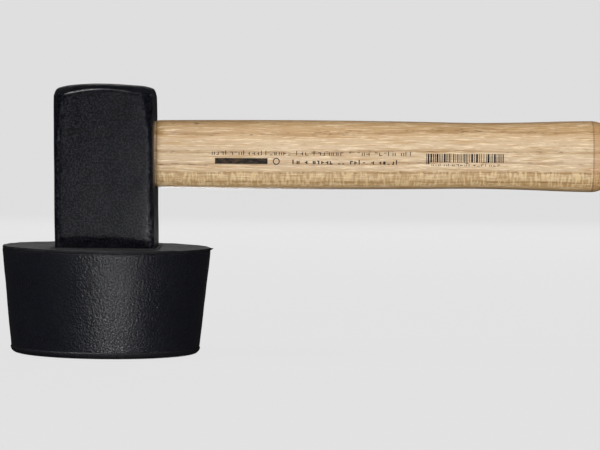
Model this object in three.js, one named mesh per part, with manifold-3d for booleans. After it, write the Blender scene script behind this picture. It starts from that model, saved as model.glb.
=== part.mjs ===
// A paver's hammer: a square steel lump-hammer head on an ash handle, with a rubber tamping cone pushed
// onto the head's lower end. Millimetres. The origin is the centre of the rubber's flat lower face, +Z is
// up through the head, and the handle runs along +X.
import * as THREE from 'three';
import { mergeVertices } from 'three/addons/utils/BufferGeometryUtils.js';
import Module from 'manifold-3d';

const wasm = await Module();
wasm.setup();

// Steel head
const HEAD_WIDTH = 45.6; // across the flats of the square bar
const HALF_WIDTH = HEAD_WIDTH / 2;
const HEAD_BOTTOM = 18;
const HEAD_TOP = 124.3; // highest point of the crown
const EDGE_CHAMFER = 1.9; // leg of the chamfer on the four long edges
const SHOULDER_START = 95; // height where the chamfers begin to widen
const SHOULDER_LEG = 5.3; // leg of the widened chamfer, reached at the crown
const CROWN_RADIUS = 170; // radius of curvature of the striking crown at its centre
const CROWN_FLAT = 5; // radius of the small flat at its centre
const BEVEL_SLOPE = 0.4; // fall of the turned bevel round the crown, per unit of radius
const BEVEL_HEIGHT = 121.9; // height of that bevel at the middle of each cheek

// Eye through the head, waisted so that the wedged tenon cannot pull out
const EYE_HEIGHT = 92.2; // height of its axis, which is also the handle's axis
const EYE_MOUTH = { height: 30.6, thickness: 22.4 };
const EYE_WAIST = { height: 29.6, thickness: 21.4 };
const EYE_EXIT = { height: 32.4, thickness: 23.8 };
const EYE_WAIST_X = 6; // where the eye is narrowest

// Rubber cone
const CONE_HEIGHT = 48.7;
const CONE_TOP_RADIUS = 48.15;
const CONE_BOTTOM_RADIUS = 43.55;
const LIP_HEIGHT = 2.3; // low lip round the lower edge
const LIP_PROUD = 0.35;
const LIP_ROUNDING = 0.8;
const FLASH_HEIGHT = 0.7; // thin mould flash round the upper rim
const FLASH_PROUD = 0.3;
const POCKET_BEVEL = 1; // bevel round the pocket's mouth

// Ash handle
const HANDLE_START = -22.4; // wedged end, just inside the head's far face
const HANDLE_END = 236;
const SHOULDER_X = 23; // where the tenon begins to swell to the grip's section
const SHOULDER_LENGTH = 2.6;
const END_ROUNDING = 12;
const END_ROUNDING_Y = 9; // the same rounding across the handle
const SECTION_POWER = 2.3; // exponent of the superellipse section
// outer size from the head to the knob: distance along X, height, thickness
const GRIP = [
  [20, 31.1, 23.8],
  [60, 31.8, 24.4],
  [115, 31.8, 24.4],
  [145, 31.2, 23.8],
  [170, 30.6, 23.2],
  [192, 31.2, 23.6],
  [214, 32.6, 24.9],
  [226, 33, 25.4],
  [240, 33, 25.4],
];

// Wedges, all driven in from the far side of the head
const WOOD_WEDGE = { start: -22, depth: 27, thick: 4.4, tip: 1.2, height: 29.6 };
const STEEL_WEDGE = { start: -21.8, depth: 20, thick: 3, tip: 0.8, width: 15 };
const STEEL_WEDGE_OFFSET = 7.5; // above and below the eye's axis
const BARB_COUNT = 4;
const BARB_DEPTH = 0.25;

const GAP = 0.3; // clearance between pieces that touch
const OVERRUN = 1; // how far a cutting solid runs past the face it opens
const ROUND_SEGMENTS = 72;
const OVAL_SEGMENTS = 40;

const steel = new THREE.MeshStandardMaterial({ color: 0x1c1d21, roughness: 0.45, metalness: 0.3 });
const rubber = new THREE.MeshStandardMaterial({ color: 0x141415, roughness: 0.6, metalness: 0 });
const ash = new THREE.MeshStandardMaterial({ color: 0xd7b487, roughness: 0.45, metalness: 0 });
const beech = new THREE.MeshStandardMaterial({ color: 0xb98a5c, roughness: 0.6, metalness: 0 });
const bareSteel = new THREE.MeshStandardMaterial({ color: 0x9a9a98, roughness: 0.4, metalness: 1 });

function toSolid(geometry) {
  const bare = geometry.index ? geometry : geometry.clone();
  bare.deleteAttribute('normal');
  bare.deleteAttribute('uv');
  const merged = mergeVertices(bare, 1e-4);
  return new wasm.Manifold(new wasm.Mesh({
    numProp: 3,
    vertProperties: new Float32Array(merged.attributes.position.array),
    triVerts: new Uint32Array(merged.index.array),
  }));
}

function toMesh(solid, name, material) {
  const { vertProperties, triVerts } = solid.getMesh();
  const geometry = new THREE.BufferGeometry();
  geometry.setAttribute('position', new THREE.BufferAttribute(vertProperties, 3));
  geometry.setIndex(new THREE.BufferAttribute(triVerts, 1));
  geometry.computeVertexNormals();
  const mesh = new THREE.Mesh(geometry, material);
  mesh.name = name;
  return mesh;
}

// Square with its corners cut off, centred on the origin.
function chamferedSquare(width, chamfer) {
  const half = width / 2;
  const inner = half - chamfer;
  const corners = [
    [half, -inner], [half, inner], [inner, half], [-inner, half],
    [-half, inner], [-half, -inner], [-inner, -half], [inner, -half],
  ];
  return new THREE.Shape(corners.map(([x, y]) => new THREE.Vector2(x, y)));
}

function upright(shape, bottom, top) {
  const geometry = new THREE.ExtrudeGeometry(shape, { depth: top - bottom, bevelEnabled: false });
  return toSolid(geometry.translate(0, 0, bottom));
}

// Turned solid: the profile lists [radius, height] from the axis and back to it, going up.
function turned(profile) {
  const points = profile.map(([radius, height]) => new THREE.Vector2(radius, height));
  const geometry = new THREE.LatheGeometry(points, ROUND_SEGMENTS);
  return toSolid(geometry.rotateX(Math.PI / 2));
}

// Superellipse section in the YZ plane.
function ovalRing(height, thickness) {
  const ring = [];
  for (let i = 0; i < OVAL_SEGMENTS; i += 1) {
    const angle = (2 * Math.PI * i) / OVAL_SEGMENTS;
    const cos = Math.cos(angle);
    const sin = Math.sin(angle);
    const y = (thickness / 2) * Math.sign(cos) * Math.abs(cos) ** (2 / SECTION_POWER);
    const z = (height / 2) * Math.sign(sin) * Math.abs(sin) ** (2 / SECTION_POWER);
    ring.push([y, z]);
  }
  return ring;
}

// Closed solid through oval sections: each is { x, height, thickness }, in order of rising x.
function ovalLoft(sections) {
  const positions = [];
  const index = [];
  for (const { x, height, thickness } of sections) {
    for (const [y, z] of ovalRing(height, thickness)) positions.push(x, y, EYE_HEIGHT + z);
  }
  for (let s = 0; s + 1 < sections.length; s += 1) {
    for (let i = 0; i < OVAL_SEGMENTS; i += 1) {
      const next = (i + 1) % OVAL_SEGMENTS;
      const a = s * OVAL_SEGMENTS + i;
      const b = s * OVAL_SEGMENTS + next;
      index.push(a, b, b + OVAL_SEGMENTS, a, b + OVAL_SEGMENTS, a + OVAL_SEGMENTS);
    }
  }
  const first = positions.length / 3;
  const last = first + 1;
  const lastRing = (sections.length - 1) * OVAL_SEGMENTS;
  positions.push(sections[0].x, 0, EYE_HEIGHT, sections.at(-1).x, 0, EYE_HEIGHT);
  for (let i = 0; i < OVAL_SEGMENTS; i += 1) {
    const next = (i + 1) % OVAL_SEGMENTS;
    index.push(first, next, i, last, lastRing + i, lastRing + next);
  }
  const geometry = new THREE.BufferGeometry();
  geometry.setAttribute('position', new THREE.Float32BufferAttribute(positions, 3));
  geometry.setIndex(index);
  return toSolid(geometry);
}

// Half-space above the plane through three points, as a large tilted block.
function blockBeyond(a, b, c) {
  const plane = new THREE.Plane().setFromCoplanarPoints(a, b, c);
  const size = 3 * HEAD_WIDTH;
  const block = new THREE.BoxGeometry(size, size, size);
  block.translate(0, 0, size / 2);
  block.applyQuaternion(new THREE.Quaternion().setFromUnitVectors(new THREE.Vector3(0, 0, 1), plane.normal));
  const centre = plane.projectPoint(a, new THREE.Vector3());
  return toSolid(block.translate(centre.x, centre.y, centre.z));
}

// The crown is a shallow paraboloid with a turned bevel round it and a small flat at its centre.
function crownProfile() {
  const domeHeight = (radius) => HEAD_TOP - radius ** 2 / (2 * CROWN_RADIUS);
  const bevelHeight = (radius) => BEVEL_HEIGHT - BEVEL_SLOPE * (radius - HALF_WIDTH);
  const apexRise = bevelHeight(0) - HEAD_TOP; // the bevel's cone would end this far above the crown
  const root = Math.sqrt(BEVEL_SLOPE ** 2 - (2 * apexRise) / CROWN_RADIUS);
  const edgeRadius = CROWN_RADIUS * (BEVEL_SLOPE - root); // where the bevel meets the crown
  const outer = HEAD_WIDTH; // clear of the square's corners
  const profile = [[0, HEAD_BOTTOM], [outer, HEAD_BOTTOM], [outer, bevelHeight(outer)]];
  const ringCount = 5;
  for (let i = 0; i <= ringCount; i += 1) {
    const ring = THREE.MathUtils.lerp(edgeRadius, CROWN_FLAT, i / ringCount);
    profile.push([ring, domeHeight(ring)]);
  }
  profile.push([0, domeHeight(CROWN_FLAT)]);
  return profile;
}

// The four chamfers widen towards the crown.
function widenedChamfers() {
  const inner = HALF_WIDTH - EDGE_CHAMFER;
  const cuts = [];
  for (const sx of [-1, 1]) {
    for (const sy of [-1, 1]) {
      const a = new THREE.Vector3(sx * inner, sy * HALF_WIDTH, SHOULDER_START);
      const b = new THREE.Vector3(sx * HALF_WIDTH, sy * inner, SHOULDER_START);
      const c = new THREE.Vector3(sx * (HALF_WIDTH - SHOULDER_LEG), sy * HALF_WIDTH, HEAD_TOP);
      cuts.push(sx * sy > 0 ? blockBeyond(b, a, c) : blockBeyond(a, b, c));
    }
  }
  return cuts;
}

function eyeSolid() {
  return ovalLoft([
    { x: -HALF_WIDTH - OVERRUN, ...EYE_EXIT },
    { x: EYE_WAIST_X, ...EYE_WAIST },
    { x: HALF_WIDTH + OVERRUN, ...EYE_MOUTH },
  ]);
}

function steelHead() {
  let head = upright(chamferedSquare(HEAD_WIDTH, EDGE_CHAMFER), HEAD_BOTTOM, HEAD_TOP);
  head = head.intersect(turned(crownProfile()));
  for (const cut of widenedChamfers()) head = head.subtract(cut);
  return head.subtract(eyeSolid());
}

function rubberCone() {
  const outside = (height) => CONE_BOTTOM_RADIUS
    + ((CONE_TOP_RADIUS - CONE_BOTTOM_RADIUS) * height) / CONE_HEIGHT;
  const flashBottom = CONE_HEIGHT - FLASH_HEIGHT;
  const lipRadius = outside(LIP_HEIGHT) + LIP_PROUD;
  const cone = turned([
    [0, 0],
    [lipRadius - LIP_ROUNDING, 0],
    [lipRadius, LIP_ROUNDING],
    [lipRadius, LIP_HEIGHT - LIP_PROUD],
    [outside(LIP_HEIGHT), LIP_HEIGHT],
    [outside(flashBottom - FLASH_PROUD), flashBottom - FLASH_PROUD],
    [outside(flashBottom) + FLASH_PROUD, flashBottom],
    [CONE_TOP_RADIUS + FLASH_PROUD, CONE_HEIGHT],
    [0, CONE_HEIGHT],
  ]);
  const section = chamferedSquare(HEAD_WIDTH + 2 * GAP, EDGE_CHAMFER);
  const pocket = upright(section, HEAD_BOTTOM - GAP, CONE_HEIGHT + OVERRUN);
  const mouth = new THREE.ExtrudeGeometry(section, {
    depth: OVERRUN,
    bevelThickness: POCKET_BEVEL,
    bevelSize: POCKET_BEVEL,
    bevelSegments: 1,
  });
  return cone.subtract(pocket).subtract(toSolid(mouth.translate(0, 0, CONE_HEIGHT)));
}

// Outer size of the handle at x, on a smooth curve through the grip's sections.
const gripCurve = new THREE.CatmullRomCurve3(GRIP.map(([x, height, thickness]) =>
  new THREE.Vector3(x, height, thickness)), false, 'centripetal');

function gripSize(x) {
  const halvings = 40;
  let low = 0;
  let high = 1;
  for (let i = 0; i < halvings; i += 1) {
    const middle = (low + high) / 2;
    if (gripCurve.getPoint(middle).x < x) low = middle;
    else high = middle;
  }
  const point = gripCurve.getPoint(low);
  return { height: point.y, thickness: point.z };
}

// Size of the tenon at x: the waisted eye, less the clearance.
function tenonSize(x) {
  const [from, to, t] = x < EYE_WAIST_X
    ? [EYE_EXIT, EYE_WAIST, (x + HALF_WIDTH) / (EYE_WAIST_X + HALF_WIDTH)]
    : [EYE_WAIST, EYE_MOUTH, (x - EYE_WAIST_X) / (HALF_WIDTH - EYE_WAIST_X)];
  return {
    height: THREE.MathUtils.lerp(from.height, to.height, t) - 2 * GAP,
    thickness: THREE.MathUtils.lerp(from.thickness, to.thickness, t) - 2 * GAP,
  };
}

function handleSections() {
  const tenon = tenonSize(HALF_WIDTH);
  const sections = [
    { x: HANDLE_START, ...tenonSize(HANDLE_START) },
    { x: EYE_WAIST_X, ...tenonSize(EYE_WAIST_X) },
    { x: SHOULDER_X, ...tenon },
  ];
  const shoulderSteps = 4;
  for (let i = 1; i <= shoulderSteps; i += 1) {
    const t = i / shoulderSteps;
    const x = SHOULDER_X + SHOULDER_LENGTH * (1 - Math.cos((t * Math.PI) / 2));
    const swell = Math.sin((t * Math.PI) / 2);
    const grip = gripSize(x);
    sections.push({
      x,
      height: THREE.MathUtils.lerp(tenon.height, grip.height, swell),
      thickness: THREE.MathUtils.lerp(tenon.thickness, grip.thickness, swell),
    });
  }
  const roundingStart = HANDLE_END - END_ROUNDING;
  const gripStart = sections.at(-1).x;
  const gripSteps = 16;
  for (let i = 1; i <= gripSteps; i += 1) {
    const x = THREE.MathUtils.lerp(gripStart, roundingStart, i / gripSteps);
    sections.push({ x, ...gripSize(x) });
  }
  const roundingSteps = 6;
  for (let i = 1; i <= roundingSteps; i += 1) {
    const angle = (i / roundingSteps) * (Math.PI / 2);
    const x = roundingStart + END_ROUNDING * Math.sin(angle);
    const grip = gripSize(x);
    const pull = 2 * (1 - Math.cos(angle));
    sections.push({
      x,
      height: grip.height - END_ROUNDING * pull,
      thickness: grip.thickness - END_ROUNDING_Y * pull,
    });
  }
  return sections;
}

// Wedge tapering along +X, extruded across its width. The outline lies in the XZ plane when flat is true,
// with the width along Y, and in the XY plane otherwise, with the width along Z.
function wedgeSolid(outline, width, flat, centreHeight) {
  const shape = new THREE.Shape(outline.map(([x, side]) => new THREE.Vector2(x, side)));
  const geometry = new THREE.ExtrudeGeometry(shape, { depth: width, bevelEnabled: false });
  geometry.translate(0, 0, -width / 2);
  if (flat) geometry.rotateX(Math.PI / 2);
  return toSolid(geometry.translate(0, 0, centreHeight));
}

// A wedge's outline, or with clearance the outline of its slot, which runs out past the tenon's end.
function taperOutline({ start, depth, thick, tip }, clearance = 0) {
  const slope = (thick - tip) / (2 * depth);
  const low = clearance > 0 ? HANDLE_START - OVERRUN : start;
  const high = start + depth + clearance;
  const half = (x) => thick / 2 - slope * (x - start) + clearance;
  return [[low, -half(low)], [high, -half(high)], [high, half(high)], [low, half(low)]];
}

// The wedge's faces fall a little below the taper between barbs, so that it bites as it is driven.
function barbedOutline({ start, depth, thick, tip }) {
  const half = (t) => THREE.MathUtils.lerp(thick, tip, t) / 2;
  const upper = [];
  for (let i = 0; i < BARB_COUNT; i += 1) {
    const from = i / BARB_COUNT;
    const to = (i + 1) / BARB_COUNT;
    const notch = to < 1 ? BARB_DEPTH : 0;
    upper.push([start + depth * from, half(from)], [start + depth * to, half(to) - notch]);
  }
  const lower = upper.map(([x, side]) => [x, -side]).reverse();
  return [...lower, ...upper];
}

function steelWedgeSlot(centreHeight) {
  return wedgeSolid(taperOutline(STEEL_WEDGE, GAP), STEEL_WEDGE.width + 2 * GAP, true, centreHeight);
}

const wedgeHeights = [EYE_HEIGHT + STEEL_WEDGE_OFFSET, EYE_HEIGHT - STEEL_WEDGE_OFFSET];

function handleSolid() {
  const kerfHeight = EYE_EXIT.height + 2 * OVERRUN; // through the whole tenon
  let handle = ovalLoft(handleSections());
  handle = handle.subtract(wedgeSolid(taperOutline(WOOD_WEDGE, GAP), kerfHeight, false, EYE_HEIGHT));
  for (const height of wedgeHeights) handle = handle.subtract(steelWedgeSlot(height));
  return handle;
}

function woodenWedge() {
  let wedge = wedgeSolid(taperOutline(WOOD_WEDGE), WOOD_WEDGE.height, false, EYE_HEIGHT);
  for (const height of wedgeHeights) wedge = wedge.subtract(steelWedgeSlot(height));
  return wedge;
}

function steelWedge(centreHeight) {
  return wedgeSolid(barbedOutline(STEEL_WEDGE), STEEL_WEDGE.width, true, centreHeight);
}

const hammer = new THREE.Group();
hammer.add(toMesh(steelHead(), 'steel_head', steel));
hammer.add(toMesh(rubberCone(), 'rubber_cone', rubber));
hammer.add(toMesh(handleSolid(), 'handle', ash));
hammer.add(toMesh(woodenWedge(), 'wooden_wedge', beech));
wedgeHeights.forEach((height, i) => {
  hammer.add(toMesh(steelWedge(height), `steel_wedge_${i + 1}`, bareSteel));
});

export default hammer;
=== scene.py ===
import math

import bmesh
import bpy
import numpy as np
from mathutils import Matrix, Vector


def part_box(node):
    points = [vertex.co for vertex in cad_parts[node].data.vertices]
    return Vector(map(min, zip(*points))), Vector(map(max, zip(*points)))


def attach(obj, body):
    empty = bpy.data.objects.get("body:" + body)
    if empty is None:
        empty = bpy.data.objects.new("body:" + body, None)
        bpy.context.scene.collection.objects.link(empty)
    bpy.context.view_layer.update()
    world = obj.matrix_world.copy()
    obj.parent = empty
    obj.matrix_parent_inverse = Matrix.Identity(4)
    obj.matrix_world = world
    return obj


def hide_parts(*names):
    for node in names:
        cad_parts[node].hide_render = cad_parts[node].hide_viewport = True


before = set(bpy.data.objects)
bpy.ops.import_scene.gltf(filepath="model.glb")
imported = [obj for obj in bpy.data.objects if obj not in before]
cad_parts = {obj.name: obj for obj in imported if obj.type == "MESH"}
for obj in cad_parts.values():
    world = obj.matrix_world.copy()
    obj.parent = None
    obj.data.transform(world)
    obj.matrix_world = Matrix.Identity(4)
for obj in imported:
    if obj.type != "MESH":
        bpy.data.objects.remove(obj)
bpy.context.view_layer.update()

MM = 0.001


def node_box(name):
    low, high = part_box(name)
    return np.array(low) / MM, np.array(high) / MM


head_low, head_high = node_box("steel_head")
cone_low, cone_high = node_box("rubber_cone")
handle_low, handle_high = node_box("handle")

# Steel head
HALF = (head_high[0] - head_low[0]) / 2  # half the width across the cheeks
HEAD_TOP = head_high[2] + 0.25  # the crown is a little fuller than the CAD's flat-centred one
EDGE_CHAMFER = 1.9  # leg of the chamfer on the long edges
SHOULDER_START = 88.0  # height where the chamfers begin to widen, slowly at first
SHOULDER_RATE = 0.0033
CROWN_RADIUS = 170.0
CROWN_SKEW = 0.1  # the crown stands a little high on its -X side
LEAN = 0.015  # slope by which the forging leans towards -X
LEAN_PIVOT = 76.7  # height where it stands over the middle of the rubber
BEVEL_SLOPE = 0.4
BEVEL_DROP = 2.35  # from the crown down to the bevel at the middle of a cheek
EYE = [(-HALF, 32.4, 23.8), (6, 29.6, 21.4), (HALF, 30.6, 22.4)]  # place along X, height, width
EYE_FLARE, EYE_FLARE_DEPTH = 1.4, 1.6
SCUFF_PLACE, SCUFF_SPREAD = (20.8, 58.0), (2.2, 6.0)  # worn patch on the front cheek: X and Z

# Rubber cone
CONE_TOP = cone_high[2]
CONE_RADIUS_TOP = 48.2
CONE_RADIUS_BOTTOM = 43.6
RIM_TOP = CONE_TOP + 0.45  # the upper edge stands a little proud of the face round the steel
RIM_HEIGHT = 1.7  # near-upright band below the upper edge, with a fine ledge under it
LIP_HEIGHT = 2.8  # low lip round the lower edge
LIP_REACH = 0.35
LIP_ROUNDING = 2.6
BURR_REACH, BURR_SPREAD = 1.5, 0.022  # flash left at the upper edge on the +X side; the spread in radians
# bead squeezed up round the steel: distance out from the steel, height above the face
BEAD = ((2.0, 0.12), (1.5, 0.38), (1.0, 0.55), (0.55, 0.5), (0.25, 0.2), (0.12, -0.3))
POCKET_GAP = 0.1
# slopes of its two faces: it sits low on its +X side
BASE_SLOPE, RIM_SLOPE = 0.008, 0.0105
CONE_LEAN = 0.008
CONE_SHIFT = -0.37

# Ash handle: distance along X, height, thickness
AXIS_Z = (handle_low[2] + handle_high[2]) / 2
GRIP = [
    (20, 31.1, 23.8), (60, 31.8, 24.4), (115, 31.8, 24.4), (145, 31.2, 23.8), (170, 30.6, 23.2),
    (192, 31.2, 23.6), (214, 32.6, 24.9), (226, 33.0, 25.4), (240, 33.0, 25.4),
]
TENON = [(-22.8, 32.0, 23.4), (6, 29.2, 21.0), (22.9, 30.2, 22.0)]
SHOULDER_X = 23.0  # where the tenon swells to the grip
SHOULDER_LENGTH = 2.6
SECTION_POWER = 2.3
END_ROUNDING = (12.0, 12.0, 9.0)  # along X, then in height and in thickness


# ---------------------------------------------------------------- mesh helpers

def ripples(points, wavelength, amount, seed, count=28):
    """Smooth, seeded unevenness: a sum of plane waves with a spread of directions and lengths."""
    random = np.random.default_rng(seed)
    waves = random.normal(size=(count, 3))
    waves /= np.linalg.norm(waves, axis=1, keepdims=True)
    waves *= 2 * math.pi / (wavelength * random.uniform(0.6, 1.7, (count, 1)))
    phases = random.uniform(0, 2 * math.pi, count)
    return amount * np.sin(points @ waves.T + phases).sum(axis=1) / math.sqrt(count / 2)


def round_max(a, b, blend):
    """The larger of two distances, rounded where they are within blend of each other."""
    overlap = np.maximum(blend - np.abs(a - b), 0) / blend
    return np.maximum(a, b) + overlap ** 2 * blend / 4


def oval(height, thickness, count):
    """Superellipse points (y, z) round a section."""
    angle = np.linspace(0, 2 * math.pi, count, endpoint=False)
    cos, sin = np.cos(angle), np.sin(angle)
    y = thickness / 2 * np.sign(cos) * np.abs(cos) ** (2 / SECTION_POWER)
    z = height / 2 * np.sign(sin) * np.abs(sin) ** (2 / SECTION_POWER)
    return np.stack([y, z], axis=1)


def ring_faces(rings, count):
    """Quads between successive rings and a flat cap at each end."""
    faces = []
    for ring in range(rings - 1):
        for i in range(count):
            a, b = ring * count + i, ring * count + (i + 1) % count
            faces.append((a, b, b + count, a + count))
    last = (rings - 1) * count
    faces.append(tuple(reversed(range(count))))
    faces.append(tuple(range(last, last + count)))
    return faces


def make_object(name, points, faces):
    mesh = bpy.data.meshes.new(name)
    mesh.from_pydata((np.asarray(points) * MM).tolist(), [], faces)
    mesh.validate()
    mesh.shade_smooth()
    piece = bpy.data.objects.new(name, mesh)
    bpy.context.scene.collection.objects.link(piece)
    return piece


def loft(name, rings):
    rings = np.asarray(rings)
    return make_object(name, rings.reshape(-1, 3), ring_faces(len(rings), rings.shape[1]))


def cut(piece, *cutters):
    """Subtracts the cutters from the piece and removes them."""
    for cutter in cutters:
        modifier = piece.modifiers.new("cut", "BOOLEAN")
        modifier.operation = "DIFFERENCE"
        modifier.solver = "EXACT"
        modifier.object = cutter
    apply_modifiers(piece)
    for cutter in cutters:
        bpy.data.meshes.remove(cutter.data)
    weld(piece)


def weld(piece, reach=0.002):
    """Merges points that a cut has left on top of each other."""
    mesh = bmesh.new()
    mesh.from_mesh(piece.data)
    bmesh.ops.remove_doubles(mesh, verts=mesh.verts, dist=reach * MM)
    mesh.to_mesh(piece.data)
    mesh.free()


def apply_modifiers(piece):
    graph = bpy.context.evaluated_depsgraph_get()
    mesh = bpy.data.meshes.new_from_object(piece.evaluated_get(graph))
    piece.modifiers.clear()
    old, piece.data = piece.data, mesh
    bpy.data.meshes.remove(old)


def vertex_points(piece):
    """The piece's vertices in millimetres."""
    points = np.empty(len(piece.data.vertices) * 3)
    piece.data.vertices.foreach_get("co", points)
    return points.reshape(-1, 3) / MM


def move_vertices(piece, change):
    piece.data.vertices.foreach_set("co", (change(vertex_points(piece)) * MM).ravel())
    piece.data.update()


def sharpen(piece, degrees):
    piece.data.shade_smooth()
    piece.data.set_sharp_from_angle(angle=math.radians(degrees))


def finish_piece(piece, material, slot, *nodes):
    piece.data.materials.clear()
    piece.data.materials.append(material)
    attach(piece, "root")
    if nodes:
        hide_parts(*nodes)


# ---------------------------------------------------------------- steel head

def bevel_height(radius):
    return HEAD_TOP - BEVEL_DROP - BEVEL_SLOPE * (radius - HALF)


def dome_height(x, radius):
    skew = CROWN_SKEW * np.sin(math.pi * np.clip(x / HALF, -1, 1))
    return HEAD_TOP - radius ** 2 / (2 * CROWN_RADIUS) - skew


def lean(points):
    """Shears the points sideways by the forging's lean."""
    leaning = np.array(points, float)
    leaning[..., 0] -= LEAN * (leaning[..., 2] - LEAN_PIVOT)
    return leaning


def chamfer_leg(z):
    return EDGE_CHAMFER + SHOULDER_RATE * np.maximum(z - SHOULDER_START, 0) ** 2


def chamfer_distance(x, y, z):
    return (x + y - 2 * HALF + chamfer_leg(z)) / math.sqrt(2)


def bevel_distance(radius, z):
    return (z - bevel_height(radius)) / math.hypot(1, BEVEL_SLOPE)


def head_field(points):
    """Signed distance, near enough, to the forging's surface: below zero inside."""
    x, y, z = np.abs(points[:, 0]), np.abs(points[:, 1]), points[:, 2]
    radius = np.hypot(x, y)
    walls = round_max(np.maximum(x - HALF, y - HALF), chamfer_distance(x, y, z), 0.9)
    dome = z - dome_height(points[:, 0], radius)
    bevel = bevel_distance(radius, z)
    top = round_max(dome, bevel, 1.2)
    outside = round_max(round_max(walls, top, 1.5), head_low[2] - z, 1.0)
    return outside + ripples(points, 16, 0.035, 3) + ripples(points, 3.2, 0.003, 4)


def settle(points, field, steps=6):
    """Moves the points along the field's slope until they lie on its zero surface."""
    step = 0.01
    for _ in range(steps):
        value = field(points)
        ahead = np.stack([field(points + step * axis) for axis in np.eye(3)], axis=1)
        behind = np.stack([field(points - step * axis) for axis in np.eye(3)], axis=1)
        slope = (ahead - behind) / (2 * step)
        points = points - slope * (value / np.maximum((slope ** 2).sum(axis=1), 1e-6))[:, None]
    return points


def square_outline(leg, side_points=30, corner_points=9):
    """A chamfered square's outline, closer together near its edges."""
    t = np.linspace(-1, 1, side_points, endpoint=False)
    t = 0.45 * t + 0.55 * (1.5 * t - 0.5 * t ** 3)
    inner = HALF - leg
    side = np.stack([np.full_like(t, HALF), inner * t], axis=1)
    s = np.linspace(0, 1, corner_points, endpoint=False)
    corner = np.stack([HALF - leg * s, inner + leg * s], axis=1)
    quarter = np.concatenate([side, corner])
    turns = [np.array([[math.cos(a), math.sin(a)], [-math.sin(a), math.cos(a)]])
             for a in np.arange(4) * math.pi / 2]
    return np.concatenate([quarter @ turn for turn in turns])


def head_rings():
    rings = []
    drops = [0, 0.25, 0.5, 0.8, 1.2, 1.7, 2.4, 3.4, 5]
    top_outline = square_outline(chamfer_leg(bevel_height(HALF * 1.2)))
    edge = bevel_height(np.hypot(*top_outline.T))
    body = np.concatenate([np.linspace(head_low[2], 48, 9), np.linspace(50, 113, 42)])
    for z in body:
        outline = square_outline(chamfer_leg(z))
        rings.append(np.column_stack([outline, np.full(len(outline), z)]))
    for drop in reversed(drops):
        heights = edge - drop
        outline = square_outline(chamfer_leg(heights.mean()))
        rings.append(np.column_stack([outline, heights]))
    for scale in (0.99, 0.975, 0.955, 0.93, 0.905, 0.88, 0.86, 0.84, 0.81, 0.77, 0.72,
                  0.66, 0.59, 0.51, 0.42, 0.33, 0.24, 0.15, 0.06):
        outline = top_outline * scale
        radius = np.hypot(*outline.T)
        height = np.minimum(dome_height(outline[:, 0], radius), bevel_height(radius))
        rings.append(np.column_stack([outline, height]))
    return np.array(rings)


def eye_cutter():
    """Waisted oval that flares at both mouths, so that the rims come out rounded."""
    at, heights, widths = zip(*EYE)
    mouth = HALF - EYE_FLARE_DEPTH
    rings = []
    for x in np.concatenate([np.linspace(-HALF - 1, -mouth, 8), np.linspace(-HALF + 4, HALF - 4, 8),
                             np.linspace(mouth, HALF + 1, 8)]):
        depth = np.clip((HALF - abs(x)) / EYE_FLARE_DEPTH, 0, 1)
        swell = 2 * EYE_FLARE * (1 - math.sqrt(1 - (1 - depth) ** 2))
        height, width = np.interp(x, at, heights), np.interp(x, at, widths)
        section = oval(height + swell, width + swell, 100)
        rings.append(np.column_stack([np.full(len(section), x), section[:, 0], section[:, 1] + AXIS_Z]))
    return loft("eye_cutter", rings)


def store_wear(piece):
    """Keeps, on each corner point, how close it is to a worn edge or to the scuffed patch."""
    points = vertex_points(piece)
    x, y, z = np.abs(points[:, 0]), np.abs(points[:, 1]), points[:, 2]
    walls = np.sort(np.stack([x - HALF, y - HALF, chamfer_distance(x, y, z)]), axis=0)
    crown = bevel_distance(np.hypot(x, y), z)
    edge = np.exp(-((walls[2] - walls[1]) / 0.5) ** 2) + np.exp(-((walls[2] - crown) / 0.6) ** 2)
    off = (points[:, (0, 2)] - SCUFF_PLACE) / SCUFF_SPREAD
    scuff = np.exp(-(off ** 2).sum(axis=1)) * (points[:, 1] < -HALF / 2)
    attribute = piece.data.attributes.new("wear", "FLOAT", "POINT")
    attribute.data.foreach_set("value", np.clip(edge * 0.6 + scuff, 0, 1))


def make_head(material):
    rings = head_rings()
    shape = rings.shape
    points = settle(rings.reshape(-1, 3), head_field)
    piece = loft("head_forging", points.reshape(shape))
    cut(piece, eye_cutter())
    sharpen(piece, 32)
    store_wear(piece)
    move_vertices(piece, lean)
    finish_piece(piece, material, "black_lacquered_steel", "steel_head")


# ---------------------------------------------------------------- rubber cone

def arc(centre, radius, start, end, steps):
    angles = np.radians(np.linspace(start, end, steps))
    return [(centre[0] + radius * math.cos(a), centre[1] + radius * math.sin(a)) for a in angles]


def cone_profile():
    """Outer profile (radius, height) from under the cone, up its side and over the upper edge."""
    lip = CONE_RADIUS_BOTTOM + LIP_REACH
    ledge = RIM_TOP - RIM_HEIGHT
    profile = [(36, 0), (40.9, 0)]
    profile += arc((lip - LIP_ROUNDING, LIP_ROUNDING), LIP_ROUNDING, -90, 0, 10)
    profile += arc((lip - 0.3, LIP_HEIGHT - 0.3), 0.3, 0, 60, 3)
    profile += [(CONE_RADIUS_BOTTOM + 0.1, LIP_HEIGHT + 0.3)]
    side_low, side_high = LIP_HEIGHT + 0.6, ledge - 0.1
    for t in np.linspace(0, 1, 26):
        radius = CONE_RADIUS_BOTTOM + 0.13 + (CONE_RADIUS_TOP - 0.13 - CONE_RADIUS_BOTTOM) * t
        profile.append((radius, side_low + (side_high - side_low) * t))
    profile += [(CONE_RADIUS_TOP - 0.02, ledge), (CONE_RADIUS_TOP - 0.25, ledge + 0.08)]
    profile += [(CONE_RADIUS_TOP - 0.22, ledge + 0.25), (CONE_RADIUS_TOP + 0.02, ledge + 0.5)]
    profile += arc((CONE_RADIUS_TOP - 0.38, RIM_TOP - 0.3), 0.3, 0, 90, 5)
    return profile


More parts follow.
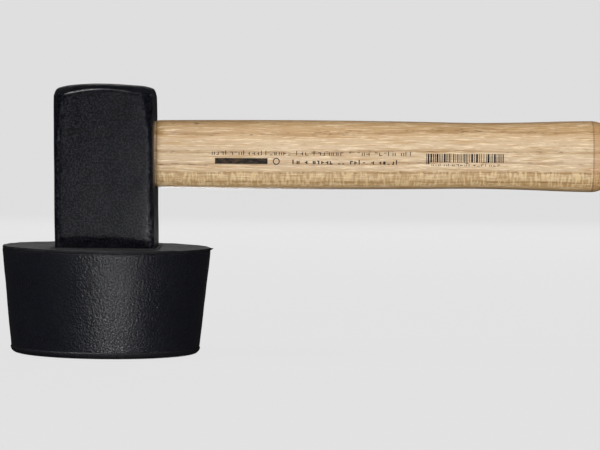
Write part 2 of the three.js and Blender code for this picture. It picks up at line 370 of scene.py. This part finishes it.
def pocket_radius(angle, grow):
    """Polar radius of the chamfered square that the steel fills."""
    cos, sin = np.abs(np.cos(angle)), np.abs(np.sin(angle))
    side = (HALF + grow) / np.maximum(cos, sin)
    corner = (2 * HALF - EDGE_CHAMFER + 1.6 * grow) / (cos + sin)
    return np.minimum(side, corner)


def tilt(points):
    """Sets the moulding a little low and shifted along X."""
    x, y, z = points.T
    slope = BASE_SLOPE + (RIM_SLOPE - BASE_SLOPE) * z / CONE_TOP
    return np.stack([x + CONE_LEAN * z + CONE_SHIFT, y, z - slope * x], axis=1)


def make_cone(material):
    count = 256
    angle = np.linspace(0, 2 * math.pi, count, endpoint=False)
    rings = [(np.full(count, radius), height) for radius, height in cone_profile()]
    # upper face: circles at the edge turn into the pocket's square
    for t in np.linspace(0.04, 1, 15):
        square = pocket_radius(angle, 2.6)
        radius = (CONE_RADIUS_TOP - 0.4) * (1 - t) + square * t
        rings.append((radius, RIM_TOP + (CONE_TOP - RIM_TOP) * min(1, 1.3 * t)))
    pocket_floor = head_low[2] - 0.15 - CONE_TOP
    for grow, rise in (*BEAD, *((POCKET_GAP, depth) for depth in (-3, -12, -22, pocket_floor))):
        rings.append((pocket_radius(angle, grow), CONE_TOP + rise))
    burr = np.exp(-(np.minimum(angle, 2 * math.pi - angle) / BURR_SPREAD) ** 2)
    seat_radius = CONE_RADIUS_TOP - 6  # inside this the rubber follows the steel's lean
    points = []
    for radius, height in rings:
        ring = np.column_stack([radius * np.cos(angle), radius * np.sin(angle), np.full(count, height)])
        outer = np.clip((radius - 40) / 3, 0, 1) * (height > 0.5)
        if RIM_TOP - 0.7 < height < RIM_TOP - 0.1 and radius.min() > CONE_RADIUS_TOP - 0.4:
            ring[:, :2] *= (1 + BURR_REACH * burr / radius)[:, None]
        swell = ripples(ring, 24, 0.06, 11) + ripples(ring, 5, 0.025, 12)
        ring[:, :2] *= (1 + swell * outer / radius)[:, None]
        if height > CONE_TOP - 1 and radius.min() > HALF + 1:
            ring[:, 2] += ripples(ring, 9, 0.05, 13)
        seat = np.clip((seat_radius - radius) / (seat_radius - HALF), 0, 1) * (height > 5)
        points.append(lean(ring) * seat[:, None] + tilt(ring) * (1 - seat[:, None]))
    piece = loft("cone_moulding", points)
    sharpen(piece, 50)
    finish_piece(piece, material, "black_rubber", "rubber_cone")


# ---------------------------------------------------------------- handle

def station_curve(stations, x):
    """Height and thickness at x on a smooth curve through the stations."""
    stations = np.array(stations, float)
    at, values = stations[:, 0], stations[:, 1:]
    slopes = np.gradient(values, at, axis=0)
    i = int(np.clip(np.searchsorted(at, x) - 1, 0, len(at) - 2))
    span = at[i + 1] - at[i]
    t = (x - at[i]) / span
    a, b = values[i], values[i + 1]
    ease = t * t * (3 - 2 * t)
    pull = span * (slopes[i] * t * (1 - t) ** 2 - slopes[i + 1] * t * t * (1 - t))
    return a + (b - a) * ease + pull


def tenon_size(x):
    at, heights, widths = zip(*TENON)
    return np.array([np.interp(x, at, heights), np.interp(x, at, widths)])


def handle_size(x):
    """Height and thickness of the handle at x."""
    if x <= SHOULDER_X:
        return tenon_size(x)
    grip = station_curve(GRIP, x)
    swell = math.sqrt(1 - (1 - min((x - SHOULDER_X) / SHOULDER_LENGTH, 1)) ** 2)
    size = tenon_size(SHOULDER_X) * (1 - swell) + grip * swell
    length, tall, thick = END_ROUNDING
    past = max(x - (handle_high[0] - length), 0) / length
    pull = 2 * (1 - math.sqrt(max(1 - past ** 2, 0)))
    return size - np.array([tall, thick]) * pull


def section_ring(x, size, count):
    section = oval(*size, count)
    return np.column_stack([np.full(count, x), section[:, 0], section[:, 1] + AXIS_Z])


def make_handle(material):
    count = 112
    start, end, length = handle_low[0], handle_high[0], END_ROUNDING[0]
    ease = 1 - np.cos(np.linspace(0, math.pi / 2, 9)[1:])
    stations = np.concatenate([
        [start, start + 0.12, start + 0.4], np.linspace(start + 2, SHOULDER_X, 16),
        SHOULDER_X + SHOULDER_LENGTH * ease,
        np.linspace(SHOULDER_X + SHOULDER_LENGTH + 1, end - length, 130),
        end - length + length * np.sin(np.linspace(0, math.pi / 2, 16)[1:]),
    ])
    rings = []
    for x in stations:
        worn = 0.7 * max(1 - (x - start) / 0.4, 0) ** 2
        rings.append(section_ring(x, handle_size(x) - worn, count))
    piece = loft("ash_handle", rings)
    cut(piece, wooden_wedge_body(0.12, 2), *[steel_wedge_body(z, 0.1, 2) for z in wedge_heights()])
    sharpen(piece, 40)
    finish_piece(piece, material, "ash_wood", "handle")


# ---------------------------------------------------------------- wedges

def wedge_heights():
    return [sum(node_box(f"steel_wedge_{i}")[k][2] for k in (0, 1)) / 2 for i in (1, 2)]


def tapered_block(name, low, high, tip, along, out=0.0, barb=0.0):
    """A block between two corners that thins along one axis towards its +X end, with barbs if asked for."""
    low, high = np.array(low, float), np.array(high, float)
    rings = []
    for t in np.sort(np.append(np.linspace(0, 1, 26), np.arange(0.2, 1, 0.2) - 0.004)):
        half = (high - low) / 2
        middle = (high + low) / 2
        half[along] *= 1 + (tip - 1) * t
        half[along] -= barb * ((5 * t + 1e-6) % 1) * (1 - t)
        corner = 0.25 * min(1, 8 * (1 - t) + 0.3)
        a, b = half[1] - corner, half[2] - corner
        ring = [(half[1], -b), (half[1], b), (a, half[2]), (-a, half[2]),
                (-half[1], b), (-half[1], -b), (-a, -half[2]), (a, -half[2])]
        x = low[0] - out + (high[0] - low[0] + out) * t
        rings.append([(x, middle[1] + p, middle[2] + q) for p, q in ring])
    return loft(name, rings)


def wooden_wedge_body(grow, out):
    low, high = node_box("wooden_wedge")
    return tapered_block("wooden_wedge_body", low - grow, high + grow, 0.28, 1, out)


def steel_wedge_body(height, grow, out, barb=0.0):
    low, high = node_box("steel_wedge_1")
    half = (high[2] - low[2]) / 2
    low[2], high[2] = height - half, height + half
    return tapered_block("steel_wedge_body", low - grow, high + grow, 0.28, 2, out, barb)


def make_wedges(wood, steel):
    piece = wooden_wedge_body(0, 0)
    cut(piece, *[steel_wedge_body(z, 0.08, 2) for z in wedge_heights()])
    piece.name = "split_wedge"
    sharpen(piece, 30)
    finish_piece(piece, wood, "wedge_wood", "wooden_wedge")
    for number, height in enumerate(wedge_heights(), 1):
        piece = steel_wedge_body(height, 0, 0, barb=0.3)
        piece.name = f"barbed_wedge_{number}"
        sharpen(piece, 30)
        finish_piece(piece, steel, "wedge_steel", f"steel_wedge_{number}")


# ---------------------------------------------------------------- ink marks

INK_LIFT = 0.03  # how far the ink stands off the lacquer
INK_SINK = 0.06


def front_surface(x, z, lift):
    """Point on the handle's front, the -Y side, at x and z."""
    height, thickness = handle_size(x)
    u = min(abs(2 * (z - AXIS_Z) / height), 0.999)
    y = -thickness / 2 * (1 - u ** SECTION_POWER) ** (1 / SECTION_POWER)
    return (x, y - lift, z)


def ink_patch(points, faces, x0, x1, z0, z1):
    """Adds one closed rectangular patch that follows the wood."""
    nx = max(int(math.ceil((x1 - x0) / 2.5)), 1)
    nz = max(int(math.ceil((z1 - z0) / 1.5)), 1)
    base = len(points)
    for lift in (INK_LIFT, -INK_SINK):
        for j in range(nz + 1):
            for i in range(nx + 1):
                x, z = x0 + (x1 - x0) * i / nx, z0 + (z1 - z0) * j / nz
                points.append(front_surface(x, z, lift))
    layer = (nx + 1) * (nz + 1)

    def at(i, j, side):
        return base + side * layer + j * (nx + 1) + i

    for j in range(nz):
        for i in range(nx):
            faces.append((at(i, j, 0), at(i + 1, j, 0), at(i + 1, j + 1, 0), at(i, j + 1, 0)))
            faces.append((at(i, j, 1), at(i, j + 1, 1), at(i + 1, j + 1, 1), at(i + 1, j, 1)))
    for i in range(nx):
        faces.append((at(i, 0, 0), at(i, 0, 1), at(i + 1, 0, 1), at(i + 1, 0, 0)))
        faces.append((at(i, nz, 0), at(i + 1, nz, 0), at(i + 1, nz, 1), at(i, nz, 1)))
    for j in range(nz):
        faces.append((at(0, j, 0), at(0, j + 1, 0), at(0, j + 1, 1), at(0, j, 1)))
        faces.append((at(nx, j, 0), at(nx, j, 1), at(nx, j + 1, 1), at(nx, j + 1, 0)))


def tick_row(random, x0, x1, z0, z1, pitch, stroke):
    """A row of upright ticks and short dashes in uneven groups. It spells nothing."""
    boxes = []
    x = x0
    while x < x1 - pitch:
        kind = random.integers(0, 5)
        height = z1 - z0
        wide = pitch * random.uniform(0.5, 0.75)
        if kind in (0, 1, 2):
            boxes.append((x, x + stroke, z0, z1 - height * 0.3 * (kind > 0)))
        if kind in (1, 3):
            boxes.append((x + wide - stroke, x + wide, z0, z1 - height * 0.3))
        if kind in (2, 3, 4):
            low = z0 + height * random.choice([0, 0.35, 0.7]) * 0.8
            boxes.append((x + 0.03, x + wide - 0.03, low + 0.02, low + 0.02 + stroke * 0.8))
        x += pitch * (1.9 if random.random() < 0.14 else 1)
    return boxes


def bar_block(random, x0, x1, z0, z1):
    """Upright bars of three widths, with longer ones at the ends and in the middle."""
    boxes = []
    x = x0
    while x < x1 - 0.9:
        width = float(random.choice([0.3, 0.5, 0.85], p=[0.5, 0.3, 0.2]))
        guard = min(x - x0, abs(x - (x0 + x1) / 2), x1 - x) < 0.9
        boxes.append((x, x + width, z0 - 0.7 * guard, z1))
        x += width + float(random.choice([0.35, 0.55, 0.9], p=[0.5, 0.35, 0.15]))
    return boxes


def ring_mark(points, faces, x, z, radius, width):
    """A plain closed ring printed on the wood."""
    steps = 24
    base = len(points)
    for lift in (INK_LIFT, -INK_SINK):
        for r in (radius, radius - width):
            for i in range(steps):
                a = 2 * math.pi * i / steps
                points.append(front_surface(x + r * math.cos(a), z + r * math.sin(a), lift))
    for i in range(steps):
        j = (i + 1) % steps
        outer, inner, under, under_inner = (base + k * steps for k in range(4))
        faces.append((outer + i, outer + j, inner + j, inner + i))
        faces.append((under + i, under_inner + i, under_inner + j, under + j))
        faces.append((outer + i, under + i, under + j, outer + j))
        faces.append((inner + i, inner + j, under_inner + j, under_inner + i))


def make_ink(material):
    random = np.random.default_rng(21)
    boxes = [(50.4, 74.6, 87.9, 90.6)]
    boxes += tick_row(random, 49, 143.5, 92.0, 94.1, 2.05, 0.36)
    boxes += tick_row(random, 86, 137, 88.0, 90.1, 1.95, 0.55)
    boxes += bar_block(random, 147.5, 184.5, 89.2, 93.2)
    boxes += tick_row(random, 150, 183, 87.5, 88.6, 1.9, 0.3)
    points, faces = [], []
    for box in boxes:
        ink_patch(points, faces, *box)
    ring_mark(points, faces, 78.6, 89.2, 1.6, 0.45)
    piece = make_object("ink_marks", points, faces)
    sharpen(piece, 30)
    finish_piece(piece, material, "ink")


# ---------------------------------------------------------------- materials

class Graph:
    """Builds a material's nodes, one call for each."""

    def __init__(self, name, **values):
        self.material = bpy.data.materials.new(name)
        self.material.use_nodes = True
        self.tree = self.material.node_tree
        self.shader = self.tree.nodes["Principled BSDF"]
        self.place = self.add("TexCoord").outputs["Object"]
        for socket, value in values.items():
            self.feed(self.shader.inputs[socket.replace("_", " ")], value)

    def feed(self, socket, value):
        if isinstance(value, bpy.types.NodeSocket):
            self.tree.links.new(value, socket)
        elif isinstance(value, tuple) and socket.type == "RGBA":
            socket.default_value = (*value, 1)
        else:
            socket.default_value = value

    def add(self, kind, inputs=None, **settings):
        node = self.tree.nodes.new("ShaderNode" + kind)
        for name, value in settings.items():
            setattr(node, name, value)
        for key, value in (inputs or {}).items():
            self.feed(node.inputs[key], value)
        return node

    def math(self, operation, a, b=0.0, clamp=False):
        return self.add("Math", {0: a, 1: b}, operation=operation, use_clamp=clamp).outputs[0]

    def stretch(self, *cells):
        """The object's coordinates, counted in cells of the given sizes in millimetres."""
        scale = tuple(1 / (MM * cell) for cell in cells)
        return self.add("Mapping", {"Vector": self.place, "Scale": scale}).outputs[0]

    def noise(self, cells, detail=2.0, rough=0.5):
        return self.add("TexNoise", {"Vector": self.stretch(*cells), "Scale": 1.0, "Detail": detail,
                                     "Roughness": rough}).outputs["Fac"]

    def between(self, value, low, high, to_low=0.0, to_high=1.0):
        return self.add("MapRange", {"Value": value, "From Min": low, "From Max": high, "To Min": to_low,
                                     "To Max": to_high}, interpolation_type="SMOOTHSTEP").outputs[0]

    def ramp(self, value, stops):
        node = self.add("ValToRGB", {0: value})
        elements = node.color_ramp.elements
        while len(elements) < len(stops):
            elements.new(0.5)
        for element, (position, colour) in zip(elements, stops):
            element.position = position
            element.color = (*colour, 1)
        return node.outputs[0]

    def mix(self, factor, a, b, blend="MIX"):
        node = self.add("Mix", data_type="RGBA", blend_type=blend)
        for socket, value in ((node.inputs[0], factor), (node.inputs[6], a), (node.inputs[7], b)):
            self.feed(socket, value)
        return node.outputs[2]

    def bump(self, height, depth_mm, normal=None):
        inputs = {"Height": height, "Distance": depth_mm * MM, "Strength": 1.0}
        if normal is not None:
            inputs["Normal"] = normal
        return self.add("Bump", inputs).outputs[0]

    def finish(self, colour, roughness, normal):
        for socket, value in (("Base Color", colour), ("Roughness", roughness), ("Normal", normal)):
            self.feed(self.shader.inputs[socket], value)
        return self.material


def srgb(*levels):
    """Linear colour from 0 to 255 screen levels."""
    return tuple(((v / 255 + 0.055) / 1.055) ** 2.4 if v > 10 else v / 255 / 12.92 for v in levels)


def lacquer_material():
    """Black lacquer over a forged and sanded surface."""
    g = Graph("black_lacquer", Specular_IOR_Level=0.16)
    grain = g.noise((0.85, 0.85, 0.85), detail=2, rough=0.5)
    peel = g.noise((4, 4, 4), detail=2)
    wear = g.add("Attribute", attribute_name="wear").outputs["Fac"]
    worn = g.math("MULTIPLY", wear, g.between(g.noise((1.3, 1.3, 1.3), 3), 0.42, 0.68))
    colour = g.mix(g.between(grain, 0.43, 0.6), (0.0, 0.0, 0.0008), (0.0085, 0.0091, 0.0135))
    colour = g.mix(worn, colour, (0.05, 0.052, 0.06))
    roughness = g.between(peel, 0.3, 0.7, 0.28, 0.36)
    normal = g.bump(grain, 0.12, g.bump(peel, 0.06))
    return g.finish(colour, roughness, normal)


def rubber_material():
    """Moulded black rubber with a fine grain, and lighter grey on what faces up: partly dust, partly
    painted sheen.
    """
    g = Graph("black_rubber", Specular_IOR_Level=0.3)
    grain = g.noise((0.9, 0.9, 0.9), detail=1, rough=0.5)
    blotch = g.noise((14, 14, 14), detail=3)
    facing = g.add("SeparateXYZ", {0: g.add("TexCoord").outputs["Normal"]}).outputs["Z"]
    # painted sheen: what faces up is turned lighter grey, partly for dust and partly for the light the
    # upper face catches
    dust_and_painted_sheen = g.math("MULTIPLY", g.between(facing, 0.3, 0.95), g.between(blotch, 0.25, 0.7, 0.6, 1.0))
    colour = g.mix(g.between(grain, 0.3, 0.75), (0.0038, 0.0041, 0.0066), (0.007, 0.0075, 0.011))
    colour = g.mix(dust_and_painted_sheen, colour, (0.035, 0.035, 0.037))
    x, height = (g.add("SeparateXYZ", {0: g.stretch(1, 1, 1)}).outputs[axis] for axis in "XZ")
    level = g.math("ADD", height, g.math("MULTIPLY", x, RIM_SLOPE))
    rim = g.between(level, RIM_TOP - RIM_HEIGHT - 0.1, RIM_TOP - RIM_HEIGHT + 0.1)
    lip = g.between(height, LIP_HEIGHT + 0.1, LIP_HEIGHT + 0.5, 1.0, 0.0)
    # darker and rougher bands round the upper rim and the lower lip, where the rubber faces sideways or
    # down
    dull = g.math("MULTIPLY", g.math("MAXIMUM", rim, lip), g.between(facing, 0.2, 0.7, 0.3, 0.0))
    colour = g.mix(g.math("MULTIPLY", dull, 2.0), colour, (0.0015, 0.0016, 0.003))
    roughness = g.math("ADD", g.between(blotch, 0.3, 0.7, 0.36, 0.44), dull)
    return g.finish(colour, roughness, g.bump(grain, 0.3))


RING_TILT = math.radians(30)  # the rings' normal leans this far from +Z towards the front
# places of the dark lines where each year's growth begins, across the rings from the handle's axis
RING_LINES = (-19.0, -13.8, -7.3, -2.4, 1.8, 6.6, 12.8, 15.4, 19.0)
RING_REACH = 24.0


def ring_stops():
    """Colour ramp stops: each line starts sharply and fades upwards."""
    stops = []
    for line in RING_LINES:
        for offset, level in ((-0.45, 0.0), (0.05, 1.0), (1.25, 0.0)):
            stops.append(((line + offset + RING_REACH) / (2 * RING_REACH), (level,) * 3))
    return stops


def ash_tones():
    """Colour across the slanted rings: palest through the middle, darker towards both ends and most of all
    towards the top.
    """
    tones = [(-20, (203, 167, 118)), (-12, (199, 163, 115)), (-8, (206, 173, 127)), (-5, (209, 180, 139)),
             (-1, (205, 177, 140)), (3.2, (205, 179, 144)), (6.5, (202, 175, 139)), (8.5, (210, 184, 151)),
             (11.5, (206, 177, 141)), (13.2, (198, 163, 117)), (20, (190, 151, 101))]
    return [((place + RING_REACH) / (2 * RING_REACH), srgb(*colour)) for place, colour in tones]


def ash_material():
    """Lacquered ash: growth rings crossing the section at a slant, pores, fibres and ray flecks, with
    painted shade on the upper and lower faces and along the crease where the end rounding begins.
    """
    g = Graph("lacquered_ash", Specular_IOR_Level=0.25)
    x, y, z = (g.add("SeparateXYZ", {0: g.stretch(1, 1, 1)}).outputs[axis] for axis in "XYZ")
    across = g.math("ADD", g.math("MULTIPLY", g.math("SUBTRACT", z, AXIS_Z), math.cos(RING_TILT)),
                    g.math("MULTIPLY", y, -math.sin(RING_TILT)))
    sway = g.math("MULTIPLY", g.math("SUBTRACT", g.noise((80, 12, 12), 2), 0.5), 2.2)
    shiver = g.math("MULTIPLY", g.math("SUBTRACT", g.noise((12, 1.5, 1.5), 2), 0.5), 1.1)
    drift = g.math("MULTIPLY", g.math("SUBTRACT", x, SHOULDER_X), -0.0067)
    depth = g.math("ADD", g.math("ADD", g.math("ADD", across, drift), sway), shiver)
    reach = g.math("DIVIDE", g.math("ADD", depth, RING_REACH), 2 * RING_REACH)
    colour = g.ramp(reach, ash_tones())
    line = g.ramp(reach, ring_stops())
    fibre = g.noise((24, 0.75, 0.75), detail=3, rough=0.7)
    colour = g.mix(g.between(fibre, 0.48, 0.68, 0.0, 0.75), colour, srgb(184, 142, 88))
    pale = g.noise((9, 0.7, 0.7), detail=3, rough=0.65)
    colour = g.mix(g.between(pale, 0.48, 0.7, 0.0, 0.75), colour, srgb(246, 224, 188))
    strength = g.between(g.noise((30, 2.5, 2.5), 2), 0.3, 0.65, 0.25, 0.75)
    colour = g.mix(g.math("MULTIPLY", line, strength), colour, srgb(156, 116, 66))
    pores = g.between(g.noise((3.6, 0.6, 0.6), 2), 0.57, 0.68)
    pores = g.math("MULTIPLY", pores, g.between(line, 0.05, 0.7, 0.16, 0.75))
    colour = g.mix(pores, colour, srgb(116, 84, 50))
    ticks = g.noise((1.15, 4.5, 4.5), detail=1)
    near = g.math("MULTIPLY", g.between(depth, -10.5, -9.0), g.between(depth, -2.4, -1.2, 1.0, 0.0))
    bright = g.math("MULTIPLY", g.between(ticks, 0.52, 0.62), g.math("MULTIPLY", near, 0.55))
    colour = g.mix(bright, colour, srgb(238, 210, 160))
    dark = g.math("MULTIPLY", g.between(ticks, 0.38, 0.47, 1.0, 0.0), g.math("MULTIPLY", near, 0.4))
    colour = g.mix(dark, colour, srgb(166, 124, 70))
    facing = g.add("SeparateXYZ", {0: g.add("TexCoord").outputs["Normal"]}).outputs
    end = g.between(g.math("ABSOLUTE", facing["X"]), 0.1, 0.75)
    colour = g.mix(g.math("MULTIPLY", end, 0.75), colour, srgb(150, 106, 62))
    # painted shade: the faces turned up and down are darkened towards brown
    shade = g.between(g.math("ABSOLUTE", facing["Z"]), 0.86, 1.0, 0.0, 0.4)
    colour = g.mix(shade, colour, srgb(120, 84, 48))
    crease = handle_high[0] - END_ROUNDING[0]
    colour = g.mix(g.between(x, crease + 0.2, crease + 1.2, 0.0, 0.4), colour, srgb(176, 124, 70))
    # painted shade: a thin dark line across the handle where the end rounding begins, in place of a
    # crease's shading
    rise, fall = g.between(x, crease, crease + 0.5), g.between(x, crease + 0.6, crease + 1.2, 0.6, 0.0)
    colour = g.mix(g.math("MULTIPLY", rise, fall), colour, srgb(120, 84, 48))
    roughness = g.between(fibre, 0.3, 0.7, 0.4, 0.52)
    return g.finish(colour, roughness, g.bump(fibre, 0.03))


def wedge_wood_material():
    """Beech wedge: short dark rays on a warm ground."""
    g = Graph("beech", Specular_IOR_Level=0.3)
    streak = g.noise((12, 0.6, 1.2), detail=3)
    colour = g.mix(g.between(streak, 0.3, 0.7), srgb(176, 130, 88), srgb(140, 96, 60))
    return g.finish(colour, g.between(streak, 0.3, 0.7, 0.55, 0.7), g.bump(streak, 0.05))


def wedge_steel_material():
    """Bare stamped steel, dull, with a little rust in patches."""
    g = Graph("bare_steel", Metallic=1.0)
    brush = g.noise((4, 0.5, 0.5), detail=3)
    rust = g.between(g.noise((2.5, 2.5, 2.5), 4), 0.55, 0.7)
    colour = g.mix(g.between(brush, 0.3, 0.7), (0.3, 0.3, 0.31), (0.42, 0.42, 0.43))
    colour = g.mix(rust, colour, (0.16, 0.08, 0.045))
    return g.finish(colour, g.between(brush, 0.3, 0.7, 0.36, 0.5), g.bump(brush, 0.04))


def ink_material():
    """Stamped ink that has soaked unevenly into the wood."""
    g = Graph("stamped_ink", Specular_IOR_Level=0.1)
    wash = g.between(g.noise((2.2, 0.6, 1.6), 3), 0.42, 0.72)
    colour = g.mix(wash, srgb(26, 21, 17), srgb(74, 54, 36))
    return g.finish(colour, g.between(wash, 0, 1, 0.5, 0.6), g.bump(wash, 0.01))


# ---------------------------------------------------------------- stage, light and camera

def stage_material():
    g = Graph("pale_stage", Specular_IOR_Level=0.0, Roughness=1.0, Base_Color=(0.04, 0.04, 0.04),
              Emission_Color=(1.0, 1.0, 1.0), Emission_Strength=0.732)
    return g.material


def make_stage(floor=2.6, sweep=2.0, rise=2.5):
    """A round floor, just under the lowest edge, that sweeps up into a wall on every side, metres."""
    profile = [(0.02, 0)] + [(r, 0) for r in np.linspace(0.5, floor, 6)]
    profile += [(floor + sweep * math.sin(a), sweep * (1 - math.cos(a))) for a in np.linspace(0.1, 1.5, 14)]
    profile.append((floor + sweep, sweep + rise))
    count = 96
    points, faces = [], []
    for radius, height in profile:
        for i in range(count):
            a = 2 * math.pi * i / count
            points.append((radius * math.cos(a) / MM, radius * math.sin(a) / MM, height / MM - 0.5))
    for ring in range(len(profile) - 1):
        for i in range(count):
            j = (i + 1) % count
            a, b = ring * count + i, ring * count + j
            faces.append((a, b, b + count, a + count))
    faces.append(tuple(range(count)))
    stage = make_object("stage", points, faces)
    stage.data.materials.append(stage_material())
    stage.visible_glossy = False
    stage.visible_diffuse = False
    stage.visible_shadow = False


def make_light(name, azimuth, elevation, distance, size, power, diffuse=True, glossy=True):
    """A soft rectangular lamp aimed at the head. Azimuth 0 is in front, on the -Y side, and 90 is at +X."""
    data = bpy.data.lights.new(name, "AREA")
    data.shape = "RECTANGLE"
    data.size, data.size_y = size
    data.energy = power
    light = bpy.data.objects.new(name, data)
    bpy.context.scene.collection.objects.link(light)
    a, e = math.radians(azimuth), math.radians(elevation)
    target = Vector((0.03, 0, 0.06))
    back = Vector((math.sin(a) * math.cos(e), -math.cos(a) * math.cos(e), math.sin(e)))
    light.location = target + back * distance
    light.rotation_euler = (-back).to_track_quat("-Z", "Y").to_euler()
    light.visible_camera = False
    light.visible_diffuse = diffuse
    light.visible_glossy = glossy


def make_lights():
    make_light("front_fill", 0, 1, 1.6, (1.4, 1.4), 25, glossy=False)
    make_light("low_fill", 0, -40, 1.6, (1.2, 1.2), 5, glossy=False)
    make_light("right_fill", 80, 20, 1.6, (1.0, 1.0), 9, glossy=False)
    make_light("left_fill", -85, 20, 1.6, (1.0, 1.0), 9, glossy=False)
    make_light("back_fill", 175, 25, 1.6, (1.2, 1.0), 16, glossy=False)
    make_light("top_fill", 0, 85, 1.6, (1.0, 1.0), 5, glossy=False)
    make_light("edge_gleam", -32, 58, 1.3, (0.16, 0.16), 21, diffuse=False)
    make_light("front_gleam", 7.5, -12.3, 0.9, (0.06, 0.06), 3.5, diffuse=False)
    make_light("side_gleam", 26, -14, 0.9, (0.2, 0.2), 1.0, diffuse=False)
    make_light("back_gleam", 185, 12, 1.5, (0.3, 0.2), 0.16, diffuse=False)
    make_light("rear_gleam", 184, -24, 0.9, (0.15, 0.15), 1.6, diffuse=False)
    make_light("cheek_gleam", 171, -4, 1.5, (0.1, 0.1), 0.025, diffuse=False)
    world = bpy.data.worlds.new("world")
    world.use_nodes = True
    background = world.node_tree.nodes["Background"]
    background.inputs["Color"].default_value = (1, 1, 1, 1)
    background.inputs["Strength"].default_value = 0.03
    bpy.context.scene.world = world


CAMERA_PLACE = Vector((0.0897, -1.2907, 0.1089))
CAMERA_LENS_MM = 166.9
CAMERA_TILT = math.radians(-2.19)
CAMERA_ROLL = math.radians(0.4)


def make_camera():
    data = bpy.data.cameras.new("camera")
    data.lens = CAMERA_LENS_MM
    data.sensor_width = 36
    camera = bpy.data.objects.new("camera", data)
    bpy.context.scene.collection.objects.link(camera)
    turn = Matrix.Rotation(math.radians(90) + CAMERA_TILT, 4, "X") @ Matrix.Rotation(CAMERA_ROLL, 4, "Z")
    camera.matrix_world = Matrix.Translation(CAMERA_PLACE) @ turn
    bpy.context.scene.camera = camera


make_camera()
make_lights()
make_stage()
make_head(lacquer_material())
make_cone(rubber_material())
make_handle(ash_material())
make_wedges(wedge_wood_material(), wedge_steel_material())
make_ink(ink_material())
bpy.context.scene.view_settings.view_transform = "Standard"
